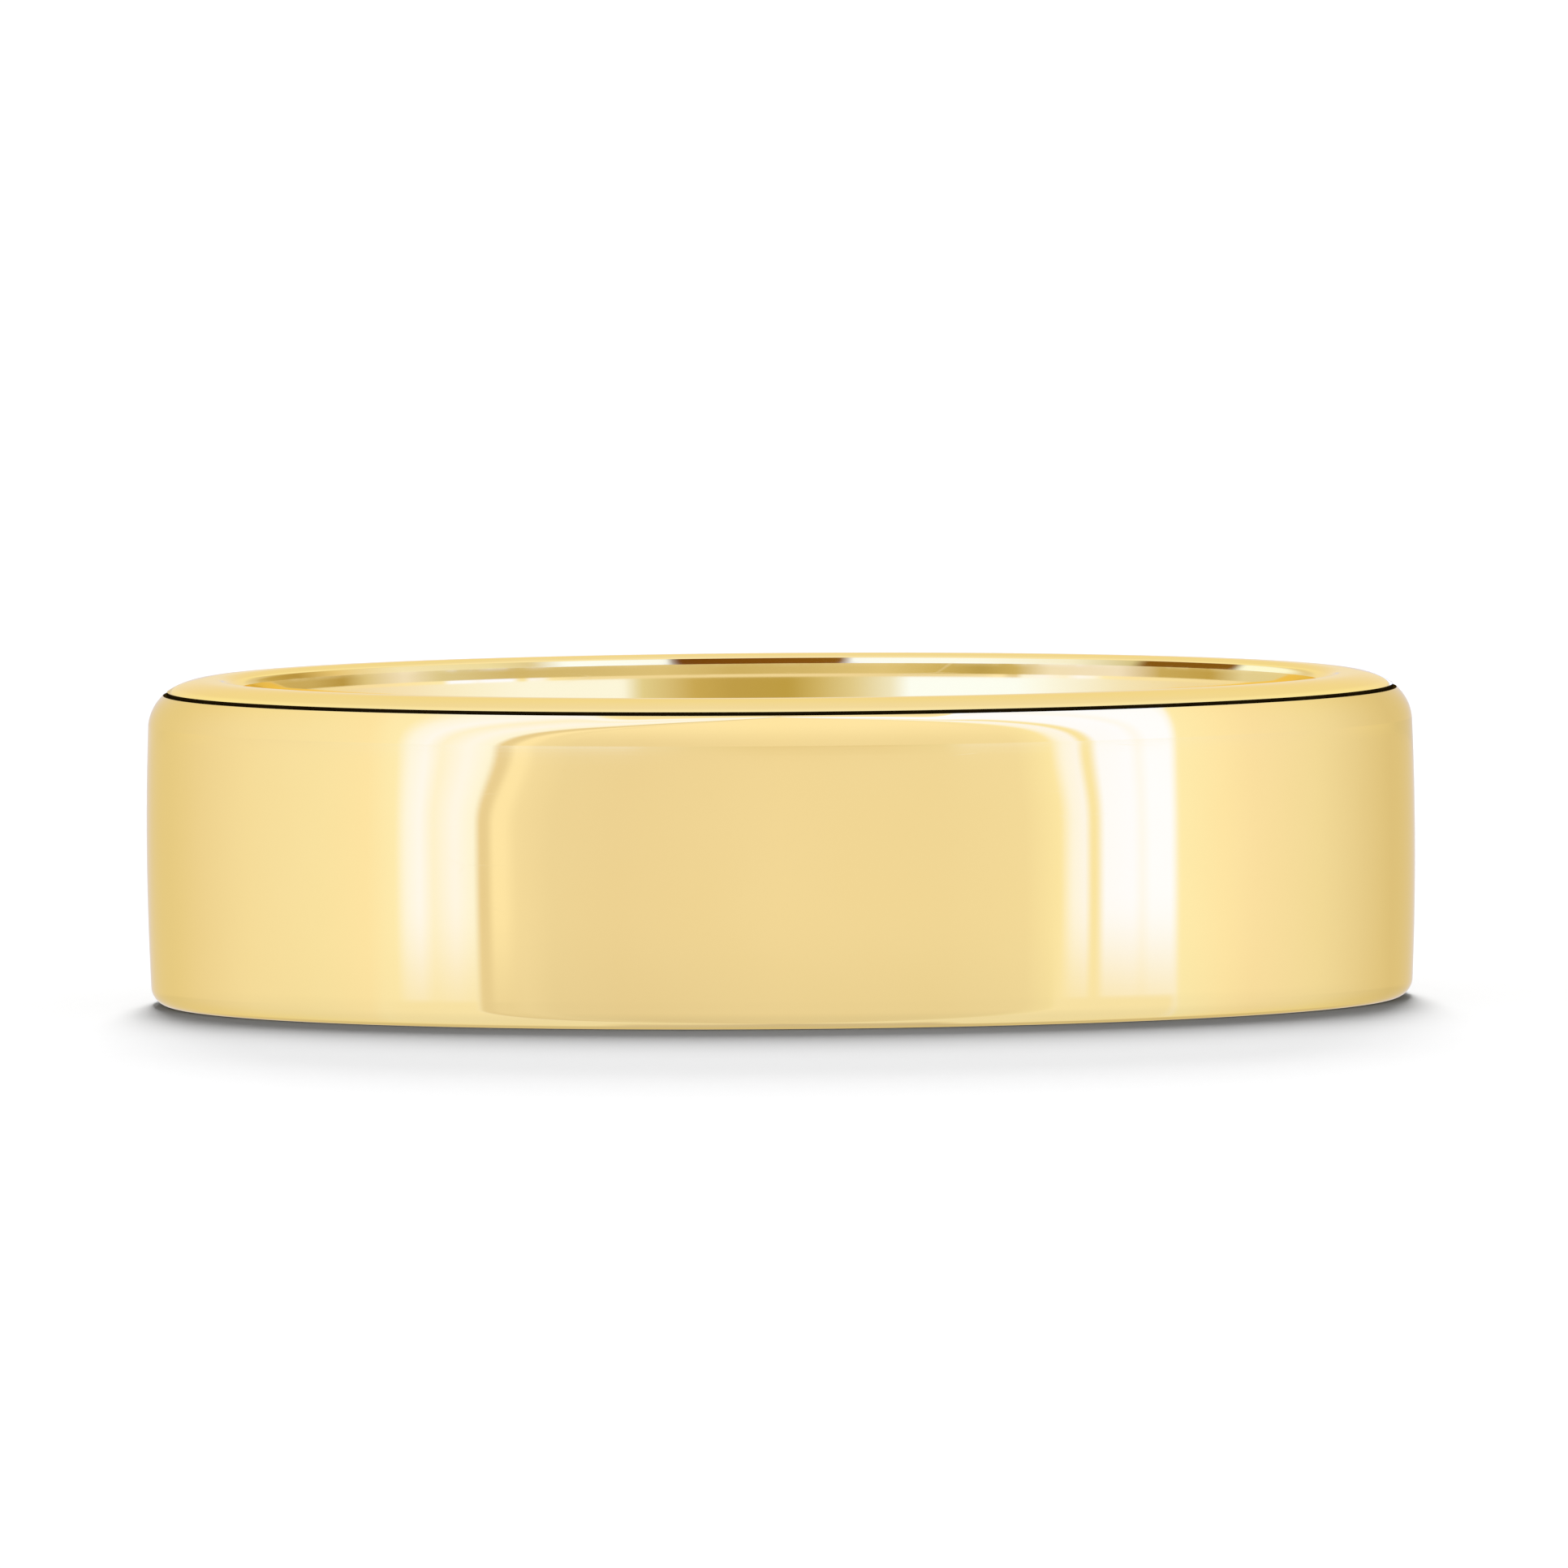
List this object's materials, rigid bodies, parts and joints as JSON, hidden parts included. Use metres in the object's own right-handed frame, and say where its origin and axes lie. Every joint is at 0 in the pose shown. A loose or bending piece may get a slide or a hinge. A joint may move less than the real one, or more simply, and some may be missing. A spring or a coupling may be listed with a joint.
{
  "type": "wedding band",
  "caption": "Plain polished yellow gold ring with a flat, softly crowned outer face, round shoulders, a fine turned line beside the upper rim and a comfort-fit bore.",
  "frame": {"origin": "centre of the ring in the plane of the rim that it lies on", "axes": "+Z along the ring's turning axis, which is the finger's axis, towards the upper rim, the one with the turned line; the ring looks the same from every side, so +X and +Y are any two directions across it"},
  "size_m": [0.0234, 0.0234, 0.006],
  "materials": {
    "polished_gold": "yellow gold, mirror polished, with faint wear along the edges"
  },
  "bodies": {
    "root": {"band": "polished_gold"}
  },
  "joints": []
}
